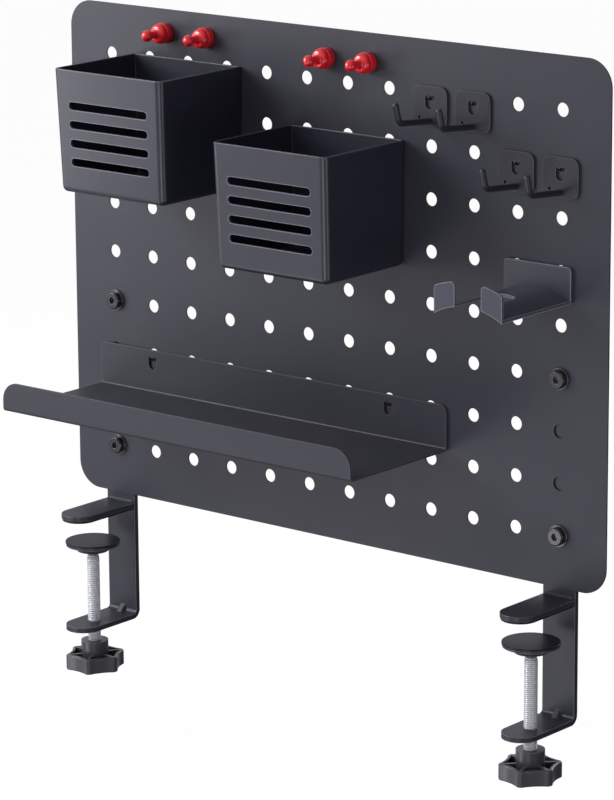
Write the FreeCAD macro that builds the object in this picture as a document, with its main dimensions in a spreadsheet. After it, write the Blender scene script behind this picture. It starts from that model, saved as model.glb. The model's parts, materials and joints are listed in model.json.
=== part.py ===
import FreeCAD, Part
import os
import re

import Sketcher
from FreeCAD import Vector

# Clamp-on pegboard desk organizer. +Z is up, +X runs to the right along the panel and the front faces -Y.
# The origin is midway between the clamps, on the desk top and on the front of the two uprights.

# Driving sizes in millimetres and degrees, by the piece that each one belongs to.

SIZES = {
    "panel": {
        "panel_edge_beside": 41,
        "panel_edge_above": 38,
        "panel_edge_below": 38,
        "panel_thickness": 1.2,
        "panel_corner": 20,
        "panel_lift": 6.8,
        "hole_diameter": 10,
        "hole_pitch": 38,
        "hole_columns": 12,
        "hole_rows": 9,
    },
    "clamp bar": {
        "bar_width": 28,
        "bar_thickness": 4,
        "bar_corner": 6,
        "bar_above_bolt": 16,
        "bend_inside": 3,
        "throat_depth": 83.5,
        "arm_reach": 58.4,
        "gusset_width": 6,
        "gusset_leg": 5.2,
        "gusset_fillet": 1.6,
        "bolt_hole_diameter": 9,
    },
    "jaw": {
        "jaw_reach": 61,
        "jaw_thickness": 4,
        "weld_leg": 1.8,
        "jaw_pad_thickness": 1.5,
        "jaw_pad_inset": 0.6,
    },
    "panel fasteners": {
        "bolt_diameter": 8,
        "bolt_length": 16,
        "bolt_tip_chamfer": 0.8,
        "bolt_head_radius": 6.6,
        "bolt_head_height": 3.6,
        "bolt_head_chamfer": 0.9,
        "socket_across_flats": 5,
        "socket_depth": 2.4,
        "washer_radius": 8,
        "washer_thickness": 1.6,
        "washer_bore_clearance": 0.2,
        "nut_across_flats": 13,
        "nut_height": 6.5,
        "nut_bore_clearance": 0.05,
        "nut_chamfer": 0.9,
    },
    "clamp screw": {
        "screw_radius": 5,
        "screw_clearance": 0.05,
        "screw_reach": 33,
        "screw_chamfer": 0.8,
        "neck_radius": 1.8,
        "neck_clearance": 0.05,
        "shoulder_gap": 1.4,
    },
    "knob": {
        "knob_drop": 11.6,
        "knob_hub_radius": 10.5,
        "knob_hub_height": 10.3,
        "knob_height": 12,
        "knob_radius": 22.75,
        "knob_lobes": 6,
        "knob_scallop_radius": 32,
        "knob_scallop_centre": 51,
        "knob_wall": 2.3,
        "knob_rib": 2,
        "knob_pocket_depth": 9,
        "knob_lobe_fillet": 2.2,
        "knob_rim_fillet": 1.2,
        "knob_bore_floor": 3,
        "left_knob_turn": 27.6,
        "right_knob_turn": 16.2,
    },
    "swivel pad": {
        "jaw_opening": 19.5,
        "pad_rubber_radius": 21,
        "pad_rubber_thickness": 1.5,
        "pad_rubber_edge": 0.4,
        "pad_rim_radius": 20.5,
        "pad_rim_thickness": 1.9,
        "pad_cone_radius": 15.5,
        "pad_waist_radius": 12,
        "pad_waist_drop": 4.5,
        "pad_foot_radius": 5.5,
        "pad_foot_drop": 6.8,
        "ball_radius": 3.8,
        "ball_clearance": 0.05,
        "ball_above_foot": 2.3,
        "ball_bore_top": 2.3,
        "neck_end_gap": 0.3,
    },
    "hanging": {
        "seat_gap": 0.3,
        "sheet_thickness": 1.5,
        "tongue_width": 7.4,
        "tongue_below": 1.3,
        "tongue_reach": 11,
        "tongue_corner": 2,
        "window_half_width": 4,
        "window_reach": 11.3,
        "plate_above": 4,
    },
    "bin": {
        "bin_width": 105,
        "bin_depth": 91.5,
        "bin_height": 92,
        "bin_rim_rise": 2.3,
        "bin_wall": 1.8,
        "bin_side_draft": 1.7,
        "bin_front_lean": 4,
        "bin_front_inside": 3.6,
        "bin_rear_inside": 0.6,
        "bin_bottom_inside": 2.7,
        "bin_rim_edge": 0.5,
        "bin_slots": 4,
        "bin_slot_length": 76.5,
        "bin_slot_height": 6,
        "bin_slot_pitch": 14,
        "bin_slot_first": 26.4,
    },
    "tray": {
        "tray_length": 334,
        "tray_depth": 112.4,
        "tray_drop": 30.2,
        "tray_lip": 22.9,
        "tray_lip_corner": 14,
        "tray_plate_corner": 6,
        "tray_bend_inside": 1.5,
    },
    "J hook": {
        "hook_width": 30.4,
        "hook_plate_above": 5.4,
        "hook_plate_below": 23.5,
        "hook_corner": 6,
        "hook_dot_diameter": 2.5,
        "hook_dot_across": 9.4,
        "hook_dot_below": 17.6,
        "rod_radius": 2.25,
        "rod_below": 19.6,
        "rod_reach": 38,
        "rod_rise": 15,
        "rod_slope": 5,
        "rod_bend": 6,
        "rod_lean": 16,
        "rod_tip_fillet": 2,
    },
    "headphone hook": {
        "cradle_width": 58,
        "cradle_plate_above": 4.8,
        "cradle_sheet": 2,
        "cradle_radius": 60,
        "cradle_peak_below": 11.2,
        "cradle_depth": 83.4,
        "cradle_plate_corner": 3,
        "prong_gap": 22.7,
        "prong_start": 41,
        "prong_corner": 5,
        "tab_height": 15.6,
        "tab_corner": 3,
    },
    "push pin": {
        "pin_radius": 7.75,
        "pin_edge": 0.4,
        "pin_flange": 5.4,
        "pin_step": 0.5,
        "pin_body": 11,
        "pin_shoulder": 3.2,
        "pin_neck_radius": 2.9,
        "pin_neck_fillet": 1.6,
        "pin_ball_radius": 4.4,
        "pin_ball_out": 20.5,
        "magnet_radius": 6,
        "magnet_thickness": 3,
        "magnet_clearance": 0.05,
    },
    "making": {
        "overrun": 5,
    },
}

# Holes that carry something, counted from the top left hole as column 0 and row 0.
BOLT_HOLES = [(0, 5), (0, 8), (11, 5), (11, 8)]
BINS = [("bin_left", 2, 0), ("bin_right", 6, 1)]
TRAY_HOLE = (4, 6)
TRAY_TONGUE_COLUMNS = 3
HOOK_HOLES = [(8, 0), (9, 0), (10, 1), (11, 1)]
HEADPHONE_HOLE = (10.5, 3)

# The push pins stand above the top row of holes, counted in columns and rows like the rest.
PIN_PLACES = [(1.434, -0.537), (2.5, -0.539), (5.505, -0.432), (6.518, -0.442)]

NAMES = {name for group in SIZES.values() for name in group}
NEARLY_ZERO = 1e-4

document = FreeCAD.newDocument("desk_organizer")
sheet = document.addObject("Spreadsheet::Sheet", "Sizes")
nodes = []


def fill_sheet():
    """Write each size as plain text beside its name."""
    row = 1
    for group, sizes in SIZES.items():
        sheet.set(f"A{row}", group)
        row += 1
        for name, number in sizes.items():
            sheet.set(f"A{row}", name)
            sheet.set(f"B{row}", str(number))
            sheet.setAlias(f"B{row}", name)
            row += 1
    document.recompute()


def linked(text):
    """The same sum with each size read from the sheet."""
    return re.sub(r"[a-z]+(?:_[a-z]+)*", lambda word: f"Sizes.{word[0]}" if word[0] in NAMES else word[0], text)


def number(text):
    return float(sheet.evalExpression(linked(text)))


def bind(owner, where, text):
    owner.setExpression(where, linked(text))


# Places that more than one piece needs, as sums of sizes.

PANEL_BOTTOM = "(jaw_pad_thickness + jaw_thickness + panel_lift)"
LOWEST_ROW = f"({PANEL_BOTTOM} + panel_edge_below)"
PANEL_TOP = f"({LOWEST_ROW} + (hole_rows - 1) * hole_pitch + panel_edge_above)"
SEAT = "(panel_thickness + seat_gap)"
PLATE_FRONT = f"({SEAT} + sheet_thickness)"
WEB_BOTTOM = "(tongue_below + sheet_thickness)"
BOLT_SEAT = "(panel_thickness + washer_thickness)"
PAD_TOP = "(0 - jaw_opening)"
PLATE_TOP = "(0 - jaw_opening - pad_rubber_thickness)"
RIM_BOTTOM = "(0 - jaw_opening - pad_rubber_thickness - pad_rim_thickness)"
PAD_FOOT = f"({RIM_BOTTOM} - pad_foot_drop)"
BALL_CENTRE = f"({PAD_FOOT} + ball_above_foot)"
BALL_BORE_END = f"({BALL_CENTRE} + ball_bore_top)"
ARM_BOTTOM = "(0 - throat_depth - bar_thickness)"
KNOB_TOP = f"({ARM_BOTTOM} - knob_drop)"
STAR_TOP = f"({KNOB_TOP} - knob_hub_height)"
KNOB_BOTTOM = f"({STAR_TOP} - knob_height)"


def hole_across(column):
    return f"(({column} - (hole_columns - 1) / 2) * hole_pitch)"


def hole_up(row):
    return f"({LOWEST_ROW} + (hole_rows - 1 - {row}) * hole_pitch)"


# Sketches and features.


def place(item, across="0", out="0", up="0"):
    for axis, text in zip("xyz", (across, out, up)):
        bind(item, f"Placement.Base.{axis}", text)


def new_body(label, across="0", up="0", keep=True):
    body = document.addObject("PartDesign::Body", label)
    body.Label = label
    place(body, across, "0", up)
    if keep:
        nodes.append(body)
    return body


def new_sketch(body, name, plane, offset="0"):
    sketch = body.newObject("Sketcher::SketchObject", f"{body.Label}_{name}")
    support = next(item for item in body.Origin.OriginFeatures if item.Role == plane)
    sketch.AttachmentSupport = (support, [""])
    sketch.MapMode = "FlatFace"
    bind(sketch, "AttachmentOffset.Base.z", offset)
    return sketch


def hold(sketch, kind, *where, text):
    """Add a measured constraint and bind it to its sum."""
    index = sketch.addConstraint(Sketcher.Constraint(kind, *where, number(text)))
    bind(sketch, f"Constraints[{index}]", text)


def hold_point(sketch, piece, end, across, up):
    for kind, axis, text in (("DistanceX", -2, across), ("DistanceY", -1, up)):
        if text == "0":
            sketch.addConstraint(Sketcher.Constraint("PointOnObject", piece, end, axis))
        else:
            hold(sketch, kind, piece, end, text=text)


def draw(sketch, stops, closed=True):
    """An outline through points. A stop of five entries bends about a centre, left or right, to the next."""
    points = [Vector(number(stop[0]), number(stop[1]), 0) for stop in stops]
    pieces = []
    count = len(stops) if closed else len(stops) - 1
    for index in range(count):
        stop = stops[index]
        start = points[index]
        end = points[(index + 1) % len(points)]
        if len(stop) == 2:
            piece = sketch.addGeometry(Part.LineSegment(start, end), False)
            pieces.append((piece, 1, 2))
            hold_point(sketch, piece, 1, stop[0], stop[1])
            continue
        across, up, centre_across, centre_up, turn = stop
        centre = Vector(number(centre_across), number(centre_up), 0)
        radius = (start - centre).Length
        angles = [Vector(1, 0, 0).getAngle(point - centre) for point in (start, end)]
        angles = [-angle if point.y < centre.y else angle for angle, point in zip(angles, (start, end))]
        circle = Part.Circle(centre, Vector(0, 0, 1), radius)
        if turn == "left":
            piece = sketch.addGeometry(Part.ArcOfCircle(circle, angles[0], angles[1]), False)
            pieces.append((piece, 1, 2))
        else:
            piece = sketch.addGeometry(Part.ArcOfCircle(circle, angles[1], angles[0]), False)
            pieces.append((piece, 2, 1))
        hold_point(sketch, piece, pieces[-1][1], across, up)
        chord = end - start
        if abs(chord.x) >= abs(chord.y):
            hold_centre(sketch, piece, "DistanceY", -1, centre_up)
        else:
            hold_centre(sketch, piece, "DistanceX", -2, centre_across)
    for index in range(count if closed else count - 1):
        piece, start, end = pieces[index]
        following, next_start, next_end = pieces[(index + 1) % len(pieces)]
        sketch.addConstraint(Sketcher.Constraint("Coincident", piece, end, following, next_start))
    if not closed:
        piece, start, end = pieces[-1]
        hold_point(sketch, piece, end, stops[-1][0], stops[-1][1])
    return sketch


def hold_centre(sketch, piece, kind, axis, text):
    if text == "0":
        sketch.addConstraint(Sketcher.Constraint("PointOnObject", piece, 3, axis))
    else:
        hold(sketch, kind, piece, 3, text=text)


def draw_circle(sketch, across, up, radius):
    centre = Vector(number(across), number(up), 0)
    piece = sketch.addGeometry(Part.Circle(centre, Vector(0, 0, 1), number(radius)), False)
    hold_point(sketch, piece, 3, across, up)
    hold(sketch, "Radius", piece, text=radius)
    return sketch


def draw_rectangle(sketch, left, right, bottom, top):
    return draw(sketch, [(left, bottom), (right, bottom), (right, top), (left, top)])


def draw_hexagon(sketch, across_flats):
    flat = f"({across_flats} / 2)"
    half_side = f"({across_flats} / 2 * tan(30))"
    corner = f"({across_flats} / 2 / cos(30))"
    stops = [
        (corner, "0"),
        (half_side, flat),
        (f"0 - {half_side}", flat),
        (f"0 - {corner}", "0"),
        (f"0 - {half_side}", f"0 - {flat}"),
        (half_side, f"0 - {flat}"),
    ]
    return draw(sketch, stops)


def pad(body, sketch, length, centred=False, back=False):
    feature = body.newObject("PartDesign::Pad", f"{sketch.Name}_pad")
    feature.Profile = sketch
    bind(feature, "Length", length)
    if centred:
        feature.SideType = "Symmetric"
    feature.Reversed = back
    return feature


def pocket(body, sketch, depth="", back=False):
    feature = body.newObject("PartDesign::Pocket", f"{sketch.Name}_pocket")
    feature.Profile = sketch
    if depth:
        bind(feature, "Length", depth)
    else:
        feature.Type = "ThroughAll"
    feature.Reversed = back
    return feature


def turn(body, sketch, axis, kind="Revolution"):
    feature = body.newObject(f"PartDesign::{kind}", f"{sketch.Name}_turned")
    feature.Profile = sketch
    feature.ReferenceAxis = (sketch, [axis])
    return feature


def repeat(body, feature, sketch, axis, pitch, count, back=False):
    """A row of copies of one feature."""
    pattern = body.newObject("PartDesign::LinearPattern", f"{feature.Name}_row")
    pattern.Originals = [feature]
    pattern.Direction = (sketch, [axis])
    bind(pattern, "Length", f"{pitch} * ({count} - 1)")
    bind(pattern, "Occurrences", count)
    pattern.Reversed = back
    body.Tip = pattern
    return pattern


def fillet(body, name, radius, wanted):
    """Round those edges of the body, as it is so far, that the test wants."""
    document.recompute()
    base = body.Tip
    edges = [f"Edge{index}" for index, edge in enumerate(base.Shape.Edges, 1) if wanted(edge)]
    if not edges:
        raise RuntimeError(f"{body.Label}: no edge for {name}")
    feature = body.newObject("PartDesign::Fillet", f"{body.Label}_{name}")
    feature.Base = (base, edges)
    bind(feature, "Radius", radius)
    return feature


def ends(edge):
    return [vertex.Point for vertex in edge.Vertexes]


def runs_along(edge, direction):
    points = ends(edge)
    if len(points) != 2 or not isinstance(edge.Curve, Part.Line):
        return False
    return (points[1] - points[0]).normalize().cross(direction).Length < NEARLY_ZERO


def lies_at(edge, axis, place_text):
    level = number(place_text)
    return all(abs(getattr(point, axis) - level) < NEARLY_ZERO for point in ends(edge))


def lies_beyond(edge, axis, place_text):
    level = number(place_text)
    return all(getattr(point, axis) > level for point in ends(edge))


DEPTHWISE = Vector(0, 1, 0)


def group(label, bodies):
    compound = document.addObject("Part::Compound", label)
    compound.Label = label
    compound.Links = bodies
    nodes.append(compound)
    return compound


# The panel.


def make_panel():
    body = new_body("pegboard_panel")
    half = "((hole_columns - 1) * hole_pitch / 2 + panel_edge_beside)"
    inner = f"({half} - panel_corner)"
    low = f"({PANEL_BOTTOM} + panel_corner)"
    high = f"({PANEL_TOP} - panel_corner)"
    outline = [
        (f"0 - {inner}", PANEL_BOTTOM),
        (inner, PANEL_BOTTOM, inner, low, "left"),
        (half, low),
        (half, high, inner, high, "left"),
        (inner, PANEL_TOP),
        (f"0 - {inner}", PANEL_TOP, f"0 - {inner}", high, "left"),
        (f"0 - {half}", high),
        (f"0 - {half}", low, f"0 - {inner}", low, "left"),
    ]
    pad(body, draw(new_sketch(body, "outline", "XZ_Plane"), outline), "panel_thickness")
    hole = new_sketch(body, "hole", "XZ_Plane")
    draw_circle(hole, hole_across(0), LOWEST_ROW, "hole_diameter / 2")
    first = pocket(body, hole, back=True)
    rows = body.newObject("PartDesign::MultiTransform", "pegboard_panel_holes")
    rows.Originals = [first]
    steps = []
    for name, axis, count in (("columns", "H_Axis", "hole_columns"), ("rows", "V_Axis", "hole_rows")):
        step = body.newObject("PartDesign::LinearPattern", f"pegboard_panel_{name}")
        step.Direction = (hole, [axis])
        bind(step, "Length", f"hole_pitch * ({count} - 1)")
        bind(step, "Occurrences", count)
        steps.append(step)
    rows.Transformations = steps
    body.Tip = rows


# The clamps: a bent bar with a welded upper jaw on each side.


def make_bracket(side, column):
    body = new_body(f"{side}_bracket", hole_across(column))
    top = f"({hole_up(BOLT_HOLES[0][1])} + bar_above_bolt)"
    arm_top = "(0 - throat_depth)"
    bend = f"({arm_top} + bend_inside)"
    profile = [
        ("bar_thickness", bend),
        ("bar_thickness", top),
        ("0", top),
        ("0", bend, "0 - bend_inside", bend, "right"),
        ("0 - bend_inside", arm_top),
        ("0 - arm_reach", arm_top),
        ("0 - arm_reach", ARM_BOTTOM),
        ("0 - bend_inside", ARM_BOTTOM, "0 - bend_inside", bend, "left"),
    ]
    pad(body, draw(new_sketch(body, "profile", "YZ_Plane"), profile), "bar_width", centred=True)
    inner = "(bar_thickness / 2)"
    gusset = [
        ("0 - gusset_leg", arm_top),
        ("0 - gusset_leg", f"{arm_top} - {inner}"),
        (inner, f"{arm_top} - {inner}"),
        (inner, f"{arm_top} + gusset_leg"),
        ("0", f"{arm_top} + gusset_leg"),
    ]
    pad(body, draw(new_sketch(body, "gusset", "YZ_Plane"), gusset), "gusset_width", centred=True)
    fillet(body, "gusset_edges", "gusset_fillet", lambda edge: runs_along(edge, Vector(0, 1, 1).normalize()))
    round_tip = new_sketch(body, "tip", "XY_Plane")
    half = "(bar_width / 2)"
    start = f"({half} - arm_reach)"
    beyond = "(0 - arm_reach - overrun)"
    waste = [
        (f"0 - {half}", start, "0", start, "left"),
        (half, start),
        (f"{half} + overrun", start),
        (f"{half} + overrun", beyond),
        (f"0 - {half} - overrun", beyond),
        (f"0 - {half} - overrun", start),
    ]
    pocket(body, draw(round_tip, waste))
    screw_hole = new_sketch(body, "screw_hole", "XY_Plane")
    draw_circle(screw_hole, "0", "0 - screw_reach", "screw_radius + screw_clearance")
    pocket(body, screw_hole)
    bolt_holes = new_sketch(body, "bolt_holes", "XZ_Plane")
    for row in sorted({row for _, row in BOLT_HOLES}):
        draw_circle(bolt_holes, "0", hole_up(row), "bolt_hole_diameter / 2")
    pocket(body, bolt_holes)
    fillet(body, "corners", "bar_corner", lambda edge: runs_along(edge, DEPTHWISE) and lies_at(edge, "z", top))


def draw_jaw(sketch, inset="0"):
    """A flat plate from the upright forwards, with a round end."""
    half = f"(bar_width / 2 - {inset})"
    start = "(bar_width / 2 - jaw_reach)"
    rear = "0" if inset == "0" else f"0 - {inset}"
    outline = [(f"0 - {half}", start, "0", start, "left"), (half, start), (half, rear), (f"0 - {half}", rear)]
    return draw(sketch, outline)


def make_upper_jaw(side, column):
    body = new_body(f"{side}_upper_jaw", hole_across(column), "jaw_pad_thickness")
    pad(body, draw_jaw(new_sketch(body, "outline", "XY_Plane")), "jaw_thickness")
    weld = [
        ("0", "jaw_thickness / 2"),
        ("0", "jaw_thickness + weld_leg"),
        ("0 - weld_leg", "jaw_thickness"),
        ("0 - weld_leg", "jaw_thickness / 2"),
    ]
    pad(body, draw(new_sketch(body, "weld", "YZ_Plane"), weld), "bar_width - jaw_thickness", centred=True)


def make_jaw_pad(side, column):
    body = new_body(f"{side}_jaw_pad", hole_across(column))
    pad(body, draw_jaw(new_sketch(body, "outline", "XY_Plane"), "jaw_pad_inset"), "jaw_pad_thickness")


# The bolts, washers and nuts that hold the panel to the uprights.


def make_bolt(label, column, row):
    body = new_body(label, hole_across(column), hole_up(row), keep=False)
    shank = "(bolt_diameter / 2)"
    tip = f"(bolt_length - {BOLT_SEAT})"
    crown = f"(0 - {BOLT_SEAT} - bolt_head_height)"
    profile = [
        (crown, "0"),
        (tip, "0"),
        (tip, f"{shank} - bolt_tip_chamfer"),
        (f"{tip} - bolt_tip_chamfer", shank),
        (f"0 - {BOLT_SEAT}", shank),
        (f"0 - {BOLT_SEAT}", "bolt_head_radius"),
        (f"{crown} + bolt_head_chamfer", "bolt_head_radius"),
        (crown, "bolt_head_radius - bolt_head_chamfer"),
    ]
    turn(body, draw(new_sketch(body, "profile", "YZ_Plane"), profile), "H_Axis")
    socket = new_sketch(body, "socket", "XZ_Plane", f"{BOLT_SEAT} + bolt_head_height")
    pocket(body, draw_hexagon(socket, "socket_across_flats"), "socket_depth")
    return body


def make_washer(label, column, row):
    body = new_body(label, hole_across(column), hole_up(row), keep=False)
    sketch = new_sketch(body, "ring", "XZ_Plane", "panel_thickness")
    draw_circle(sketch, "0", "0", "washer_radius")
    draw_circle(sketch, "0", "0", "bolt_diameter / 2 + washer_bore_clearance")
    pad(body, sketch, "washer_thickness")
    return body


def make_nut(label, column, row):
    body = new_body(label, hole_across(column), hole_up(row), keep=False)
    sketch = draw_hexagon(new_sketch(body, "hexagon", "XZ_Plane", "0 - bar_thickness"), "nut_across_flats")
    draw_circle(sketch, "0", "0", "bolt_diameter / 2 + nut_bore_clearance")
    pad(body, sketch, "nut_height", back=True)
    corner = "(nut_across_flats / 2 / cos(30))"
    beyond = f"({corner} + overrun)"
    near = "bar_thickness"
    far = "(bar_thickness + nut_height)"
    slope = "(nut_chamfer + overrun)"
    for name, face, inward in (("near", near, f"{near} + {slope}"), ("far", far, f"{far} - {slope}")):
        waste = [
            (face, f"{corner} - nut_chamfer * 2"),
            (inward, f"{beyond} + overrun"),
            (face, f"{beyond} + overrun"),
        ]
        turn(body, draw(new_sketch(body, f"{name}_chamfer", "YZ_Plane"), waste), "H_Axis", "Groove")
    return body


def make_fasteners():
    for label, make in (("panel_bolts", make_bolt), ("panel_washers", make_washer), ("panel_nuts", make_nut)):
        group(label, [make(f"{label}_{index}", *hole) for index, hole in enumerate(BOLT_HOLES, 1)])


# The clamp screw, its knob, and the pad that swivels on its ball.


def at_screw(body, column):
    place(body, hole_across(column), "0 - screw_reach")


def make_screw(side, column):
    body = new_body(f"{side}_clamp_screw")
    at_screw(body, column)
    bottom = f"({KNOB_BOTTOM} + knob_bore_floor)"
    shoulder = f"({PAD_FOOT} - shoulder_gap)"
    neck_top = f"({BALL_BORE_END} - neck_end_gap)"
    inner = "(screw_radius - screw_chamfer)"
    profile = [
        ("0", bottom),
        (inner, bottom),
        ("screw_radius", f"{bottom} + screw_chamfer"),
        ("screw_radius", f"{shoulder} - screw_chamfer"),
        (inner, shoulder),
        ("neck_radius", shoulder),
        ("neck_radius", neck_top),
        ("0", neck_top),
    ]
    turn(body, draw(new_sketch(body, "profile", "XZ_Plane"), profile), "V_Axis")


def make_knob_star(side):
    """The solid star with its hub and its blind bore, before its hollows."""
    body = new_body(f"{side}_knob_star", keep=False)
    disc = draw_circle(new_sketch(body, "disc", "XY_Plane", KNOB_BOTTOM), "0", "0", "knob_radius")
    pad(body, disc, "knob_height")
    scallop = new_sketch(body, "scallop", "XY_Plane", KNOB_BOTTOM)
    draw_circle(scallop, "knob_scallop_centre", "0", "knob_scallop_radius")
    first = pocket(body, scallop, back=True)
    star = body.newObject("PartDesign::PolarPattern", f"{side}_knob_scallops")
    star.Originals = [first]
    star.Axis = (scallop, ["N_Axis"])
    bind(star, "Occurrences", "knob_lobes")
    body.Tip = star
    fillet(body, "lobe_edges", "knob_lobe_fillet", lambda edge: runs_along(edge, Vector(0, 0, 1)))
    fillet(body, "rims", "knob_rim_fillet",
           lambda edge: lies_at(edge, "z", KNOB_BOTTOM) or lies_at(edge, "z", STAR_TOP))
    return body


def cylinder(label, radius, height, across="0", out="0", up="0"):
    item = document.addObject("Part::Cylinder", label)
    bind(item, "Radius", radius)
    bind(item, "Height", height)
    place(item, across, out, up)
    return item


def cut(label, base, tool):
    item = document.addObject("Part::Cut", label)
    item.Base = base
    item.Tool = tool
    return item


def fuse(label, pieces):
    item = document.addObject("Part::MultiFuse", label)
    item.Shapes = pieces
    return item


def make_knob(side, column):
    star = make_knob_star(side)
    floor = f"({STAR_TOP} - knob_pocket_depth)"
    height = "(knob_pocket_depth + overrun)"
    hollow = cylinder(f"{side}_knob_hollow", "knob_radius - knob_wall", height, up=floor)
    solids = [cylinder(f"{side}_knob_core", "knob_hub_radius", height, up=floor)]
    for lobe in range(int(number("knob_lobes"))):
        angle = f"({lobe} * 360 / knob_lobes)"
        reach = ["knob_scallop_centre * " + f"{ratio}({angle})" for ratio in ("cos", "sin")]
        wall = cylinder(f"{side}_knob_wall_{lobe}", "knob_scallop_radius + knob_wall", height, *reach, floor)
        solids.append(wall)
        rib = document.addObject("Part::Box", f"{side}_knob_rib_{lobe}")
        bind(rib, "Length", "knob_radius")
        bind(rib, "Width", "knob_rib")
        bind(rib, "Height", height)
        half_turn = f"({angle} + 180 / knob_lobes)"
        place(rib, f"knob_rib / 2 * sin({half_turn})", f"0 - knob_rib / 2 * cos({half_turn})", floor)
        rib.Placement.Rotation = FreeCAD.Rotation(Vector(0, 0, 1), number(half_turn))
        solids.append(rib)
    pockets = cut(f"{side}_knob_pockets", hollow, fuse(f"{side}_knob_ribs", solids))
    hub = cylinder(f"{side}_knob_hub", "knob_hub_radius", "knob_hub_height", up=STAR_TOP)
    with_hub = fuse(f"{side}_knob_with_hub", [cut(f"{side}_knob_shell", star, pockets), hub])
    bore_bottom = f"({KNOB_BOTTOM} + knob_bore_floor)"
    bore_height = "(knob_height + knob_hub_height + overrun - knob_bore_floor)"
    bore = cylinder(f"{side}_knob_bore", "screw_radius", bore_height, up=bore_bottom)
    knob = cut(f"{side}_knob", with_hub, bore)
    knob.Label = f"{side}_knob"
    at_screw(knob, column)
    bind(knob, "Placement.Rotation.Angle", f"{side}_knob_turn")
    nodes.append(knob)


def make_ball(side, column):
    body = new_body(f"{side}_swivel_ball")
    at_screw(body, column)
    bore = "(neck_radius + neck_clearance)"
    opening = f"({BALL_CENTRE} - sqrt(ball_radius ^ 2 - {bore} ^ 2))"
    profile = [
        (bore, opening, "0", BALL_CENTRE, "left"),
        ("0", f"{BALL_CENTRE} + ball_radius"),
        ("0", BALL_BORE_END),
        (bore, BALL_BORE_END),
    ]
    turn(body, draw(new_sketch(body, "profile", "XZ_Plane"), profile), "V_Axis")


def make_pad(side, column):
    plate = new_body(f"{side}_pad_plate")
    at_screw(plate, column)
    cavity = "(ball_radius + ball_clearance)"
    opening = f"sqrt({cavity} ^ 2 - ball_above_foot ^ 2)"
    profile = [
        ("0", f"{BALL_CENTRE} + {cavity}", "0", BALL_CENTRE, "right"),
        (opening, PAD_FOOT),
        ("pad_foot_radius", PAD_FOOT),
        ("pad_waist_radius", f"{RIM_BOTTOM} - pad_waist_drop"),
        ("pad_cone_radius", RIM_BOTTOM),
        ("pad_rim_radius", RIM_BOTTOM),
        ("pad_rim_radius", PLATE_TOP),
        ("0", PLATE_TOP),
    ]
    turn(plate, draw(new_sketch(plate, "profile", "XZ_Plane"), profile), "V_Axis")
    rubber = new_body(f"{side}_pad_rubber")
    at_screw(rubber, column)
    disc = draw_circle(new_sketch(rubber, "disc", "XY_Plane", PLATE_TOP), "0", "0", "pad_rubber_radius")
    pad(rubber, disc, "pad_rubber_thickness")
    fillet(rubber, "edge", "pad_rubber_edge", lambda edge: lies_at(edge, "z", PAD_TOP))


# What hangs in the holes. Each body's own origin is the centre of the hole row, on the panel's back.


def add_tongue(body, name, across, lanced):
    """A tongue that goes back through a hole and down behind the panel."""
    web_top = "(0 - tongue_below)"
    web_bottom = f"(0 - {WEB_BOTTOM})"
    back = "(seat_gap + sheet_thickness)"
    if lanced:
        start = [(f"0 - {PLATE_FRONT}", web_top, f"0 - {SEAT}", web_top, "left")]
    else:
        inside = f"(0 - {SEAT} - sheet_thickness / 2)"
        start = [(inside, web_top), (inside, web_bottom)]
    profile = start + [
        (f"0 - {SEAT}", web_bottom),
        ("seat_gap", web_bottom),
        ("seat_gap", "0 - tongue_reach"),
        (back, "0 - tongue_reach"),
        (back, web_bottom, "seat_gap", web_bottom, "left"),
        ("seat_gap", web_top),
    ]
    pad(body, draw(new_sketch(body, name, "YZ_Plane", across), profile), "tongue_width", centred=True)


def round_tongues(body):
    fillet(body, "tongue_tips", "tongue_corner",
           lambda edge: runs_along(edge, DEPTHWISE) and lies_at(edge, "z", "0 - tongue_reach"))


def cut_window(body, name, across):
    """The opening that a lanced tongue leaves in its plate."""
    round_centre = "(window_half_width - window_reach)"
    left = f"({across} - window_half_width)"
    right = f"({across} + window_half_width)"
    outline = [
        (left, "0 - tongue_below"),
        (left, round_centre, across, round_centre, "left"),
        (right, round_centre),
        (right, "0 - tongue_below"),
    ]
    pocket(body, draw(new_sketch(body, name, "XZ_Plane", SEAT), outline), "sheet_thickness", back=True)


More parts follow.
